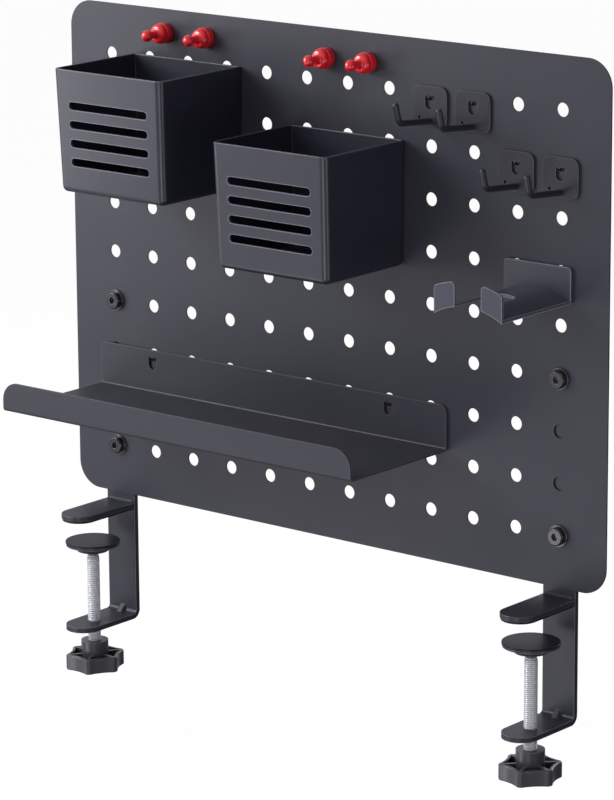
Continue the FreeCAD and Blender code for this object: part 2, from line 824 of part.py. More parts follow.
def make_bin(label, column, row):
    body = new_body(label, hole_across(column), hole_up(row))
    floor_up = "(bin_rim_rise - bin_height)"
    back = f"(0 - {SEAT})"
    side_view = [
        (back, "bin_rim_rise"),
        ("0 - bin_depth", "bin_rim_rise"),
        ("bin_front_lean - bin_depth", floor_up),
        (back, floor_up),
    ]
    pad(body, draw(new_sketch(body, "side_view", "YZ_Plane"), side_view), "bin_width", centred=True)
    half = "(bin_width / 2)"
    for name, sign in (("left", "0 -"), ("right", "0 +")):
        beyond = f"{sign} ({half} + overrun)"
        waste = [
            (f"{sign} {half}", "bin_rim_rise"),
            (f"{sign} ({half} - bin_side_draft)", floor_up),
            (beyond, floor_up),
            (beyond, "bin_rim_rise"),
        ]
        pocket(body, draw(new_sketch(body, f"{name}_draft", "XZ_Plane"), waste), back=True)

    def upright(edge):
        points = ends(edge)
        return len(points) == 2 and abs(points[0].z - points[1].z) > number("bin_height / 2")

    middle = "(0 - bin_depth / 2)"
    fillet(body, "front_corners", "bin_front_inside + bin_wall",
           lambda edge: upright(edge) and not lies_beyond(edge, "y", middle))
    fillet(body, "bottom_edge", "bin_bottom_inside + bin_wall",
           lambda edge: lies_at(edge, "z", floor_up) and not lies_at(edge, "y", back))
    fillet(body, "rear_edge", "bin_rear_inside + bin_wall",
           lambda edge: lies_at(edge, "y", back) and not lies_at(edge, "z", "bin_rim_rise"))
    document.recompute()
    block = body.Tip
    rim = number("bin_rim_rise")
    mouth = [f"Face{index}" for index, face in enumerate(block.Shape.Faces, 1)
             if abs(face.BoundBox.ZMin - rim) < NEARLY_ZERO]
    shell = body.newObject("PartDesign::Thickness", f"{label}_shell")
    shell.Base = (block, mouth)
    bind(shell, "Value", "bin_wall")
    shell.Reversed = True
    fillet(body, "rim_edges", "bin_rim_edge", lambda edge: lies_at(edge, "z", "bin_rim_rise"))
    slot = new_sketch(body, "slot", "XZ_Plane", "bin_depth + overrun")
    half = "(bin_slot_length / 2 - bin_slot_height / 2)"
    centre = "(bin_rim_rise - bin_slot_first)"
    low = f"({centre} - bin_slot_height / 2)"
    high = f"({centre} + bin_slot_height / 2)"
    outline = [
        (f"0 - {half}", low),
        (half, low, half, centre, "left"),
        (half, high),
        (f"0 - {half}", high, f"0 - {half}", centre, "left"),
    ]
    first = pocket(body, draw(slot, outline), "overrun + bin_front_lean + bin_wall * 2")
    repeat(body, first, slot, "V_Axis", "bin_slot_pitch", "bin_slots", back=True)
    for name, across in (("left_tongue", "0 - hole_pitch"), ("right_tongue", "hole_pitch")):
        add_tongue(body, name, across, lanced=False)
    round_tongues(body)


def make_tray():
    column, row = TRAY_HOLE
    body = new_body("tray", hole_across(column), hole_up(row))
    back = f"(0 - {SEAT})"
    front = f"(0 - {PLATE_FRONT})"
    lip = "(0 - tray_depth)"
    lip_inside = "(sheet_thickness - tray_depth)"
    floor_bottom = "(0 - tray_drop)"
    floor_top = "(sheet_thickness - tray_drop)"
    bend_up = f"({floor_top} + tray_bend_inside)"
    rear_bend = f"({front} - tray_bend_inside)"
    front_bend = f"({lip_inside} + tray_bend_inside)"
    lip_top = f"({floor_bottom} + tray_lip)"
    profile = [
        (back, "plate_above"),
        (front, "plate_above"),
        (front, bend_up, rear_bend, bend_up, "right"),
        (rear_bend, floor_top),
        (front_bend, floor_top, front_bend, bend_up, "right"),
        (lip_inside, bend_up),
        (lip_inside, lip_top),
        (lip, lip_top),
        (lip, bend_up, front_bend, bend_up, "left"),
        (front_bend, floor_bottom),
        (rear_bend, floor_bottom, rear_bend, bend_up, "left"),
        (back, bend_up),
    ]
    pad(body, draw(new_sketch(body, "profile", "YZ_Plane"), profile), "tray_length", centred=True)
    fillet(body, "lip_corners", "tray_lip_corner",
           lambda edge: runs_along(edge, DEPTHWISE) and lies_at(edge, "z", lip_top))
    fillet(body, "plate_corners", "tray_plate_corner",
           lambda edge: runs_along(edge, DEPTHWISE) and lies_at(edge, "z", "plate_above"))
    for name, sign in (("left", "0 -"), ("right", "0 +")):
        across = f"({sign} {TRAY_TONGUE_COLUMNS} * hole_pitch)"
        cut_window(body, f"{name}_window", across)
        add_tongue(body, f"{name}_tongue", across, lanced=True)
    round_tongues(body)


def make_hook(index, column, row):
    plate = new_body(f"hook_{index}_plate", hole_across(column), hole_up(row))
    outline = new_sketch(plate, "outline", "XZ_Plane", SEAT)
    draw_rectangle(outline, "0 - hook_width / 2", "hook_width / 2", "0 - hook_plate_below", "hook_plate_above")
    pad(plate, outline, "sheet_thickness")
    fillet(plate, "corners", "hook_corner", lambda edge: runs_along(edge, DEPTHWISE))
    dot = new_sketch(plate, "dot", "XZ_Plane", SEAT)
    draw_circle(dot, "0 - hook_dot_across", "0 - hook_dot_below", "hook_dot_diameter / 2")
    pocket(plate, dot, "sheet_thickness", back=True)
    cut_window(plate, "window", "0")
    add_tongue(plate, "tongue", "0", lanced=True)
    round_tongues(plate)
    rod = new_body(f"hook_{index}_rod", hole_across(column), hole_up(row))
    section = new_sketch(rod, "section", "XZ_Plane", PLATE_FRONT)
    draw_circle(section, "0", "0 - rod_below", "rod_radius")
    knee = f"((rod_reach - {PLATE_FRONT}) * tan(rod_slope) - rod_below)"
    tangent = "(rod_bend * tan((90 - rod_lean - rod_slope) / 2))"
    bend_out = f"({tangent} * cos(rod_slope) - rod_reach)"
    bend_up = f"({knee} - {tangent} * sin(rod_slope))"
    centre_out = f"({bend_out} + rod_bend * sin(rod_slope))"
    centre_up = f"({bend_up} + rod_bend * cos(rod_slope))"
    path = [
        (f"0 - {PLATE_FRONT}", "0 - rod_below"),
        (bend_out, bend_up, centre_out, centre_up, "right"),
        (f"0 - rod_reach - {tangent} * sin(rod_lean)", f"{knee} + {tangent} * cos(rod_lean)"),
        ("0 - rod_reach - rod_rise * tan(rod_lean)", f"{knee} + rod_rise"),
    ]
    route = draw(new_sketch(rod, "route", "YZ_Plane"), path, closed=False)
    pipe = rod.newObject("PartDesign::AdditivePipe", f"hook_{index}_rod_bar")
    pipe.Profile = section
    pipe.Spine = (route, [])
    fillet(rod, "tip", "rod_tip_fillet",
           lambda edge: len(ends(edge)) == 1 and lies_beyond(edge, "z", "rod_rise / 2 - rod_below"))


def make_headphone_hook():
    column, row = HEADPHONE_HOLE
    across, up = hole_across(column), hole_up(row)
    half = "(cradle_width / 2)"
    centre = "(0 - cradle_peak_below - cradle_radius)"
    under = "(cradle_radius - cradle_sheet)"

    def arch_up(radius, at=half):
        return f"({centre} + sqrt({radius} ^ 2 - {at} ^ 2))"

    plate = new_body("headphone_hook_plate", across, up)
    outline = [
        (half, "cradle_plate_above"),
        (f"0 - {half}", "cradle_plate_above"),
        (f"0 - {half}", arch_up(under), "0", centre, "right"),
        (half, arch_up(under)),
    ]
    pad(plate, draw(new_sketch(plate, "outline", "XZ_Plane", SEAT), outline), "cradle_sheet")
    fillet(plate, "corners", "cradle_plate_corner",
           lambda edge: runs_along(edge, DEPTHWISE) and lies_at(edge, "z", "cradle_plate_above"))
    for name, sign in (("left_tongue", "0 -"), ("right_tongue", "0 +")):
        add_tongue(plate, name, f"({sign} hole_pitch / 2)", lanced=False)
    round_tongues(plate)

    cradle = new_body("headphone_hook_cradle", across, up)
    front = f"({SEAT} + cradle_sheet)"
    arch = [
        (half, arch_up("cradle_radius"), "0", centre, "left"),
        (f"0 - {half}", arch_up("cradle_radius")),
        (f"0 - {half}", arch_up(under), "0", centre, "right"),
        (half, arch_up(under)),
    ]
    pad(cradle, draw(new_sketch(cradle, "arch", "XZ_Plane", front), arch), f"cradle_depth - {front}")
    tab_radius = "(cradle_radius + tab_height)"
    gap = "(prong_gap / 2)"
    tabs = [
        (half, arch_up(tab_radius), "0", centre, "left"),
        (f"0 - {half}", arch_up(tab_radius)),
        (f"0 - {half}", arch_up(under), "0", centre, "right"),
        (half, arch_up(under)),
    ]
    tab_sketch = draw(new_sketch(cradle, "tabs", "XZ_Plane", "cradle_depth - cradle_sheet"), tabs)
    pad(cradle, tab_sketch, "cradle_sheet")
    opening = new_sketch(cradle, "prong_gap", "XY_Plane", "cradle_plate_above + overrun")
    inner = f"({gap} - prong_corner)"
    round_up = "(0 - prong_start - prong_corner)"
    mouth = "(0 - cradle_depth - overrun)"
    waste = [
        (f"0 - {gap}", mouth),
        (gap, mouth),
        (gap, round_up, inner, round_up, "left"),
        (inner, "0 - prong_start"),
        (f"0 - {inner}", "0 - prong_start", f"0 - {inner}", round_up, "left"),
        (f"0 - {gap}", round_up),
    ]
    pocket(cradle, draw(opening, waste))
    fillet(cradle, "tab_corners", "tab_corner",
           lambda edge: runs_along(edge, DEPTHWISE) and lies_beyond(edge, "z", "0 - cradle_peak_below"))


# The magnetic push pins. Each body's own origin is the pin's axis, on the panel's back.


def make_pin(index, column, row):
    where = (hole_across(column), hole_up(row))
    cap = new_body(f"pin_{index}_cap", *where)
    base = f"(0 - {SEAT})"
    front = "(0 - panel_thickness)"
    step = "(pin_radius - pin_step)"
    floor = f"({base} - magnet_thickness)"
    bore = "(magnet_radius + magnet_clearance)"
    ball_start = f"({front} - pin_ball_out + sqrt(pin_ball_radius ^ 2 - pin_neck_radius ^ 2))"
    neck_round = "(pin_neck_radius + pin_neck_fillet)"
    profile = [
        (floor, "0"),
        (floor, bore),
        (base, bore),
        (base, "pin_radius - pin_edge"),
        (f"{base} - pin_edge", "pin_radius"),
        (f"{front} - pin_flange", "pin_radius"),
        (f"{front} - pin_flange - pin_step", step),
        (f"{front} - pin_body + pin_shoulder", step, f"{front} - pin_body + pin_shoulder",
         f"{step} - pin_shoulder", "left"),
        (f"{front} - pin_body", f"{step} - pin_shoulder"),
        (f"{front} - pin_body", neck_round, f"{front} - pin_body - pin_neck_fillet", neck_round, "right"),
        (f"{front} - pin_body - pin_neck_fillet", "pin_neck_radius"),
        (ball_start, "pin_neck_radius", f"{front} - pin_ball_out", "0", "left"),
        (f"{front} - pin_ball_out - pin_ball_radius", "0"),
    ]
    turn(cap, draw(new_sketch(cap, "profile", "YZ_Plane"), profile), "H_Axis")
    magnet = new_body(f"pin_{index}_magnet", *where)
    disc = draw_circle(new_sketch(magnet, "disc", "XZ_Plane", SEAT), "0", "0", "magnet_radius")
    pad(magnet, disc, "magnet_thickness")


# Build, check and write.


def make_all():
    fill_sheet()
    make_panel()
    for side, column in (("left", BOLT_HOLES[0][0]), ("right", BOLT_HOLES[-1][0])):
        make_bracket(side, column)
        make_upper_jaw(side, column)
        make_jaw_pad(side, column)
        make_screw(side, column)
        make_knob(side, column)
        make_ball(side, column)
        make_pad(side, column)
    make_fasteners()
    for label, column, row in BINS:
        make_bin(label, column, row)
    make_tray()
    for index, hole in enumerate(HOOK_HOLES, 1):
        make_hook(index, *hole)
    make_headphone_hook()
    for index, spot in enumerate(PIN_PLACES, 1):
        make_pin(index, *spot)
    document.recompute()


def check_all():
    for item in document.Objects:
        if "Invalid" in item.State or "Error" in item.State:
            raise RuntimeError(f"{item.Label} failed: {item.State}")
    for node in nodes:
        if node.Shape.isNull() or not node.Shape.isValid():
            raise RuntimeError(f"{node.Label} has no valid shape")


def write_all():
    os.makedirs("parts", exist_ok=True)
    for node in nodes:
        node.Shape.exportStep(f"parts/{node.Label}.step")
        box = node.Shape.BoundBox
        limits = (box.XMin, box.XMax, box.YMin, box.YMax, box.ZMin, box.ZMax)
        corners = " ".join(f"{limit:8.2f}" for limit in limits)
        print(f"{node.Label:24s} {len(node.Shape.Solids)} solids, {node.Shape.Volume:10.1f} mm3, box {corners}")


make_all()
check_all()
write_all()
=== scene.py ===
import json
import math

import bmesh
import bpy
from mathutils import Matrix, Vector


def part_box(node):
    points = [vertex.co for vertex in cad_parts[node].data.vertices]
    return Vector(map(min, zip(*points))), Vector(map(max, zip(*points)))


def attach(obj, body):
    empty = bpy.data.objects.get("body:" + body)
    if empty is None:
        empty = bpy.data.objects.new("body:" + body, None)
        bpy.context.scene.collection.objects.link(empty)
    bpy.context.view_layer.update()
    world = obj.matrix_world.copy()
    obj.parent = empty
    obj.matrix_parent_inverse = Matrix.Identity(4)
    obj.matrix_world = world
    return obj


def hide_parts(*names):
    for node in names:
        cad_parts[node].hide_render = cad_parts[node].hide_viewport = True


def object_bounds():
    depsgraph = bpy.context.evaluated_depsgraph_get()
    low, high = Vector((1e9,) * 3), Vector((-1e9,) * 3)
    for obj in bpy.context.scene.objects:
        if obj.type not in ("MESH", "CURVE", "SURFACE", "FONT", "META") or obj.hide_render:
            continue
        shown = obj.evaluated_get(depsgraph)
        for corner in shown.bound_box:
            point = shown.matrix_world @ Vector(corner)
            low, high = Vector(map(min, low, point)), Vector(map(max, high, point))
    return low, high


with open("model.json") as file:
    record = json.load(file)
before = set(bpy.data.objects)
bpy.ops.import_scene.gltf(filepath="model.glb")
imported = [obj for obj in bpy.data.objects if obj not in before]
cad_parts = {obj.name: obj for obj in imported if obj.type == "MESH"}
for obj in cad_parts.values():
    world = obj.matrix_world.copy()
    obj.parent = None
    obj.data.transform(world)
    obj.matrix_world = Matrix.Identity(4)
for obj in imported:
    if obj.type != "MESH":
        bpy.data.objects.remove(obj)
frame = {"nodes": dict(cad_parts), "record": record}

cad_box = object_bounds()

bl_info = {
    "name": "Clamp-on pegboard organizer",
    "version": (1, 0, 0),
    "blender": (4, 5, 0),
    "location": "3D View > Sidebar > Organizer",
    "description": "Dresses the pieces of a clamp-on pegboard desk organizer",
    "category": "Object",
}

BODY_OF = {node: body for body, nodes in frame["record"]["behaviour"]["bodies"].items() for node in nodes}
PANEL_LOW, PANEL_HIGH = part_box("pegboard_panel")
WORLD_UP = Vector((0, 0, 1))

# Corners closer than this are one corner.
WELD = 1e-6
# Faces that bend less than this are one flat face.
FLAT_BEND = math.radians(0.5)
# Faces that bend more than this meet in an edge, which is rounded in so many steps.
EDGE_BEND = math.radians(28)
EDGE_STEPS = 2
# Edges that bend more than this stay sharp when the faces are shaded as one.
SMOOTH_BEND = math.radians(60)
THREAD_BEND = math.radians(50)
# How much more a large face counts than a small one where they meet.
NORMAL_WEIGHT = 100


def length(label, note, default, smallest=0.0):
    """A setting in metres."""
    return bpy.props.FloatProperty(name=label, description=note, default=default, min=smallest, unit="LENGTH")


def share(label, note, default):
    """A setting from 0 to 1."""
    return bpy.props.FloatProperty(name=label, description=note, default=default, min=0.0, max=1.0)


def count(label, note, default, smallest):
    """A setting that counts."""
    return bpy.props.IntProperty(name=label, description=note, default=default, min=smallest)


def angle(label, note, degrees):
    """A setting for a turn, given here in degrees."""
    return bpy.props.FloatProperty(
        name=label, description=note, default=math.radians(degrees), subtype="ANGLE", unit="ROTATION"
    )


def number(label, note, default, unit="NONE"):
    """A setting of any size."""
    return bpy.props.FloatProperty(name=label, description=note, default=default, unit=unit)


def paint(label, note, default):
    """A setting for a colour."""
    return bpy.props.FloatVectorProperty(
        name=label, description=note, default=default, size=3, min=0.0, max=1.0, subtype="COLOR"
    )


class PanelSizes(bpy.types.PropertyGroup):
    """Sizes of the perforated sheet."""

    corner: length("Corner", "Radius of the sheet's corners", 0.020)
    hole: length("Hole radius", "Radius of each round hole", 0.005)
    corner_steps: count("Corner steps", "Steps round a corner", 14, 2)
    hole_steps: count("Hole steps", "Steps round a hole", 44, 8)
    pitch: length("Pitch", "Distance from hole to hole", 0.038)
    columns: count("Columns", "Holes from side to side", 12, 1)
    rows: count("Rows", "Holes from top to bottom", 9, 1)
    edge: length("Edge", "Rounding of every cut edge under its coat", 0.00028)


class ThreadSizes(bpy.types.PropertyGroup):
    """Sizes of the rolled thread on the clamp screws."""

    pitch: length("Pitch", "Rise of the thread in one turn", 0.0015, 0.0001)
    depth: length("Depth", "Height of the thread from root to crest", 0.0009)
    fade: length("Run-out", "Length over which the thread fades at each end", 0.002)
    gap: length("Gap", "From the screw's shoulder up to the pad", 0.0014)
    neck: length("Neck", "Radius of the neck above the thread", 0.0018)
    around: count("Around", "Corners around the screw", 24, 8)
    neck_around: count("Neck corners", "Corners around the neck", 20, 8)
    per_turn: count("Per turn", "Steps along one turn", 8, 4)
    crest: share("Crest", "Share of half a turn that stays at full height", 0.12)
    flank: share("Flank", "Share of half a turn at which the root is reached", 0.90)
    # Groove: the plate colour at the root of the thread is darkened to this share, as painted shade in the
    # grooves.
    groove: share("Groove", "Brightness of the plate at the root of the thread", 0.48)


class EdgeSizes(bpy.types.PropertyGroup):
    """How far the edges of the pieces are rounded."""

    sheet: length("Sheet edge", "Rounding of cut sheet metal", 0.00042)
    bar: length("Bar edge", "Rounding of the flat bars", 0.00060)
    moulded: length("Moulded edge", "Rounding of moulded plastic", 0.00045)
    fastener: length("Fastener edge", "Rounding of bolts, washers and nuts", 0.00022)


class Finish(bpy.types.PropertyGroup):
    """Colours and roughness of the finishes."""

    coat: paint("Coat", "Powder coat of panel and tray", (0.031, 0.030, 0.043))
    hook: paint("Hook coat", "Powder coat of the hooks", (0.020, 0.020, 0.029))
    cradle: paint("Headphone hook", "Powder coat of the headphone hook", (0.054, 0.054, 0.0783))
    clamp: paint("Clamp coat", "Powder coat of the clamps", (0.026, 0.026, 0.038))
    bin: paint("Bin", "Moulded plastic of the bins", (0.021, 0.021, 0.036))
    knob: paint("Knob", "Moulded plastic of the knobs", (0.052, 0.050, 0.058))
    rubber: paint("Rubber", "Rubber pads", (0.009, 0.009, 0.014))
    dark: paint("Dark steel", "Blackened fasteners", (0.006, 0.006, 0.008))
    zinc: paint("Zinc", "Bright zinc plate", (0.97, 0.98, 1.00))
    nickel: paint("Nickel", "Nickel plate of the magnets", (0.70, 0.68, 0.64))
    pin: paint("Pin", "Glossy plastic of the push pins", (0.92, 0.009, 0.020))
    coat_roughness: share("Coat roughness", "Roughness of the powder coat", 0.46)


class StageSizes(bpy.types.PropertyGroup):
    """Camera, lamps and floor."""

    eye: bpy.props.FloatVectorProperty(
        name="Eye",
        description="Place of the camera",
        default=(1.7739, -2.1709, 0.8110),
        size=3,
        unit="LENGTH",
    )
    turn: angle("Turn", "How far the camera has gone round to the right", 39.5919)
    tilt: angle("Tilt", "How far the camera looks down", 13.9036)
    roll: angle("Roll", "Turn about the view", -0.3796)
    lens: number("Lens", "Focal length in millimetres", 176.96)
    sensor: number("Sensor", "Long side of the picture in millimetres", 36.0)
    nearest: length("Nearest", "Where the camera starts to see", 0.1)
    farthest: length("Farthest", "Where the camera stops seeing", 50.0)
    drop: length("Floor drop", "Floor below the lowest piece, past the travel of the knobs", 0.056)
    floor_radius: length("Floor radius", "Radius of the round floor", 6.0)
    floor_white: share("Floor white", "How white the floor is", 0.86)
    floor_rough: share("Floor roughness", "Roughness of the floor", 0.9)
    floor_glow: number("Floor glow", "Strength of the white that the camera sees on the floor", 1.08)
    floor_mix: share("Floor mix", "Share of the glow in what the camera sees of the floor", 0.86)
    dim: share("Dim side", "Light from the far right", 0.035)
    bright: share("Bright side", "Light from the upper left of the front", 0.56)
    backdrop: share("Backdrop", "Light from behind the object", 0.62)
    power: number("Lamps", "Power that the shares of the lamps go by", 11.0, "POWER")


SETTINGS = {
    "organizer_panel": PanelSizes,
    "organizer_thread": ThreadSizes,
    "organizer_edges": EdgeSizes,
    "organizer_finish": Finish,
    "organizer_stage": StageSizes,
}


# Small helpers for node trees.


def put(tree, kind, *values, **settings):
    """A node with its input sockets set or linked in order. None leaves a socket as it is."""
    item = tree.nodes.new(kind)
    for name, value in settings.items():
        setattr(item, name, value)
    for socket, value in zip([socket for socket in item.inputs if socket.enabled], values):
        if isinstance(value, bpy.types.NodeSocket):
            tree.links.new(value, socket)
        elif value is not None:
            socket.default_value = value
    return item


def calc(tree, operation, *values):
    """One sum of the tree."""
    return put(tree, "ShaderNodeMath", *values, operation=operation).outputs[0]


def new_tree(name, kind, inputs, outputs):
    """A node group with named sockets. Returns the tree, its input sockets by name and its output node."""
    tree = bpy.data.node_groups.new(name, kind)
    for side, sockets in (("INPUT", inputs), ("OUTPUT", outputs)):
        for label, socket_kind, default in sockets:
            socket = tree.interface.new_socket(label, in_out=side, socket_type=socket_kind)
            if default is not None:
                socket.default_value = default
    source = tree.nodes.new("NodeGroupInput")
    by_name = {socket.name: socket for socket in source.outputs if socket.name}
    return tree, by_name, tree.nodes.new("NodeGroupOutput")


def run_geometry(name, tree, values, modifiers=()):
    """An object whose mesh is what the geometry tree makes from the values, with no modifier left on it."""
    holder = bpy.data.objects.new(name + "_source", bpy.data.meshes.new(name + "_source"))
    bpy.context.scene.collection.objects.link(holder)
    step = holder.modifiers.new("made", "NODES")
    step.node_group = tree
    for socket in tree.interface.items_tree:
        if socket.in_out == "INPUT" and socket.name in values:
            step[socket.identifier] = values[socket.name]
    for kind, settings in modifiers:
        extra = holder.modifiers.new(kind.lower(), kind)
        for key, value in settings.items():
            setattr(extra, key, value)
    return settle(holder, name)


def settle(holder, name):
    """Turns an object with modifiers into a plain mesh object of that name."""
    graph = bpy.context.evaluated_depsgraph_get()
    mesh = bpy.data.meshes.new_from_object(holder.evaluated_get(graph), depsgraph=graph)
    mesh.name = name
    bpy.data.objects.remove(holder)
    piece = bpy.data.objects.new(name, mesh)
    bpy.context.scene.collection.objects.link(piece)
    return piece


def carry(piece, node, material):
    """The piece stands for the node: it takes its body and a material."""
    piece.data.materials.clear()
    piece.data.materials.append(material)
    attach(piece, BODY_OF[node])
    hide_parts(node)
    return piece


def smooth(mesh, bend):
    """Shades the faces as one, but for edges that bend more than the given angle."""
    mesh.shade_smooth()
    mesh.set_sharp_from_angle(angle=bend)


def rounded_copy(node, edge, material):
    """The node's solid with its flat faces joined and its edges rounded."""
    source = frame["nodes"][node]
    shape = bmesh.new()
    shape.from_mesh(source.data)
    bmesh.ops.remove_doubles(shape, verts=shape.verts, dist=WELD)
    bmesh.ops.dissolve_limit(
        shape, angle_limit=FLAT_BEND, verts=shape.verts, edges=shape.edges, delimit={"NORMAL"}
    )
    mesh = bpy.data.meshes.new(node + "_rounded_source")
    shape.to_mesh(mesh)
    shape.free()
    holder = bpy.data.objects.new(node + "_rounded_source", mesh)
    bpy.context.scene.collection.objects.link(holder)
    bevel = holder.modifiers.new("edges", "BEVEL")
    bevel.width = edge
    bevel.segments = EDGE_STEPS
    bevel.limit_method = "ANGLE"
    bevel.angle_limit = EDGE_BEND
    bevel.use_clamp_overlap = True
    bevel.miter_outer = "MITER_ARC"
    smooth(mesh, SMOOTH_BEND)
    normals = holder.modifiers.new("normals", "WEIGHTED_NORMAL")
    normals.keep_sharp = True
    normals.weight = NORMAL_WEIGHT
    piece = settle(holder, node + "_finished")
    return carry(piece, node, material)


def keep_node(node, material):
    """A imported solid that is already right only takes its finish."""
    for slot in frame["nodes"][node].material_slots:
        slot.material = material


# Effects that several finishes share.

FINE_DETAIL, FINE_ROUGHNESS = 3.0, 0.6
CLOUD_DETAIL, CLOUD_ROUGHNESS = 3.0, 0.5
PATCH_DETAIL, PATCH_ROUGHNESS = 5.0, 0.65
# How many pebbles go on one grain, and how much they add to the height.
PEBBLES_PER_GRAIN = 0.6
PEBBLE_SHARE = 0.5
# Noise levels between which an effect grows from its least to its most.
PATCH_LEVELS = (0.45, 0.75)
SPECKLE_LEVELS = (0.40, 0.75)
CLOUD_LEVELS = (0.3, 0.7)
# Cosine between a face and the faces around it, where the painted edge highlight starts and where it is full.
HIGHLIGHT_LEVELS = (0.990, 0.93)
# Part of a face's direction across the sheet, where the painted shade of a cut wall starts and where it is
# full.
WALL_SHADE_LEVELS = (0.85, 0.45)
# Changes of roughness: up and down with the cloud, and down where the skin is rubbed.
ROUGHNESS_SWING = 0.03
ROUGHNESS_RUBBED = 0.10
# How much of the mean tone there is in the colour of the painted edge highlight.
HIGHLIGHT_GREY_SHARE = 0.75


def grain_group():
    """Fine pebbled skin of a powder coat or a moulded part, with slow changes of tone over it."""
    if "Pebbled skin" in bpy.data.node_groups:
        return bpy.data.node_groups["Pebbled skin"]
    tree, source, result = new_tree(
        "Pebbled skin",
        "ShaderNodeTree",
        [("Grain size", "NodeSocketFloat", 0.0006), ("Cloud size", "NodeSocketFloat", 0.09)],
        [(label, "NodeSocketFloat", None) for label in ("Height", "Speckle", "Cloud")],
    )
    place = put(tree, "ShaderNodeTexCoord").outputs["Object"]
    grains = calc(tree, "DIVIDE", 1.0, source["Grain size"])
    fine = put(tree, "ShaderNodeTexNoise", place, grains, FINE_DETAIL, FINE_ROUGHNESS)
    pebbles = calc(tree, "DIVIDE", PEBBLES_PER_GRAIN, source["Grain size"])
    pebble = put(tree, "ShaderNodeTexVoronoi", place, pebbles, feature="SMOOTH_F1")
    clouds = calc(tree, "DIVIDE", 1.0, source["Cloud size"])
    cloud = put(tree, "ShaderNodeTexNoise", place, clouds, CLOUD_DETAIL, CLOUD_ROUGHNESS)
    raised = calc(tree, "MULTIPLY", pebble.outputs["Distance"], PEBBLE_SHARE)
    height = calc(tree, "ADD", fine.outputs["Fac"], raised)
    tree.links.new(height, result.inputs["Height"])
    tree.links.new(fine.outputs["Fac"], result.inputs["Speckle"])
    tree.links.new(cloud.outputs["Fac"], result.inputs["Cloud"])
    return tree


def handling_group():
    """Rubbed patches from handling."""
    if "Handling" in bpy.data.node_groups:
        return bpy.data.node_groups["Handling"]
    tree, source, result = new_tree(
        "Handling",
        "ShaderNodeTree",
        [("Patch size", "NodeSocketFloat", 0.03), ("Amount", "NodeSocketFloat", 0.5)],
        [("Rubbed", "NodeSocketFloat", None)],
    )
    place = put(tree, "ShaderNodeTexCoord").outputs["Object"]
    patches = calc(tree, "DIVIDE", 1.0, source["Patch size"])
    patch = put(tree, "ShaderNodeTexNoise", place, patches, PATCH_DETAIL, PATCH_ROUGHNESS)
    spread = put(tree, "ShaderNodeMapRange", patch.outputs["Fac"], *PATCH_LEVELS, 0.0, 1.0)
    tree.links.new(calc(tree, "MULTIPLY", spread.outputs[0], source["Amount"]), result.inputs["Rubbed"])
    return tree


def edge_highlight_group():
    """A mask along the edges of a piece, where a painted highlight lightens the colour."""
    if "Painted edge highlight" in bpy.data.node_groups:
        return bpy.data.node_groups["Painted edge highlight"]
    tree, source, result = new_tree(
        "Painted edge highlight",
        "ShaderNodeTree",
        [("Reach", "NodeSocketFloat", 0.0011)],
        [("Edge", "NodeSocketFloat", None)],
    )
    around = put(tree, "ShaderNodeBevel", source["Reach"], samples=8)
    facing = put(tree, "ShaderNodeNewGeometry").outputs["True Normal"]
    alike = put(tree, "ShaderNodeVectorMath", around.outputs[0], facing, operation="DOT_PRODUCT")
    edge = put(tree, "ShaderNodeMapRange", alike.outputs["Value"], *HIGHLIGHT_LEVELS, 0.0, 1.0)
    tree.links.new(edge.outputs[0], result.inputs["Edge"])
    return tree


def wall_shade_group():
    """A mask on the walls of holes and on cut edges, which face along the sheet, for painted shade there."""
    if "Painted shade on cut walls" in bpy.data.node_groups:
        return bpy.data.node_groups["Painted shade on cut walls"]
    tree, source, result = new_tree(
        "Painted shade on cut walls",
        "ShaderNodeTree",
        [("Sharpness", "NodeSocketFloat", 1.0)],
        [("Wall", "NodeSocketFloat", None)],
    )
    facing = put(tree, "ShaderNodeSeparateXYZ", put(tree, "ShaderNodeNewGeometry").outputs["Normal"])
    across = calc(tree, "ABSOLUTE", facing.outputs[1])
    wall = put(tree, "ShaderNodeMapRange", across, *WALL_SHADE_LEVELS, 0.0, 1.0)
    tree.links.new(calc(tree, "MULTIPLY", wall.outputs[0], source["Sharpness"]), result.inputs["Wall"])
    return tree


def place_group(tree, group, **values):
    """A shared effect set into a material, with its inputs by name."""
    item = tree.nodes.new("ShaderNodeGroup")
    item.node_tree = group
    for name, value in values.items():
        item.inputs[name.replace("_", " ")].default_value = value
    return item


def blend(tree, mask, under, over):
    """One colour over another by a mask."""
    return put(tree, "ShaderNodeMix", mask, under, over, data_type="RGBA").outputs[2]


def shade(colour, times):
    """The colour made darker or lighter, with its alpha."""
    return [channel * times for channel in colour] + [1.0]


